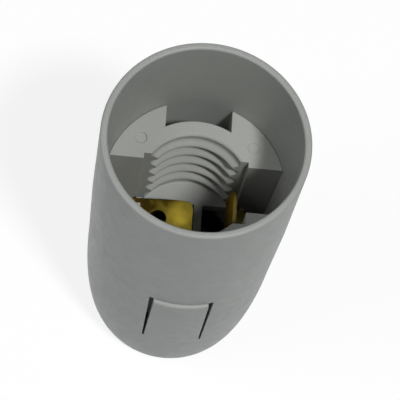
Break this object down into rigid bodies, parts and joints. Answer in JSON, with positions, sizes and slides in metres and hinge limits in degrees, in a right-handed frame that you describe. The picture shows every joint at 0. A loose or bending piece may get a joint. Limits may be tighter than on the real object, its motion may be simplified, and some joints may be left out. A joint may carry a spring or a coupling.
{
  "type": "plastic lamp holder",
  "caption": "Plastic lamp holder for an E14 candle lamp: plain shell with a domed end and snap tongues, threaded core, brass contacts and a threaded entry in its base.",
  "frame": {"origin": "centre of the underside of the base", "axes": "+Z along the holder's axis toward its mouth, the front snap tongue faces -Y, the side contact stands toward +X"},
  "size_m": [0.0262, 0.027, 0.057],
  "materials": {
    "shell_plastic": "satin",
    "core_plastic": "satin",
    "contact_brass": "rolled",
    "plated_steel": "zinc plated"
  },
  "bodies": {
    "root": {"shell": "shell_plastic", "core": "core_plastic", "centre_contact": "contact_brass", "side_contact": "contact_brass", "centre_wire_clamp": "plated_steel", "side_wire_clamp": "plated_steel", "centre_terminal_screw": "plated_steel", "side_terminal_screw": "plated_steel", "entry_bush": "plated_steel"}
  },
  "joints": []
}
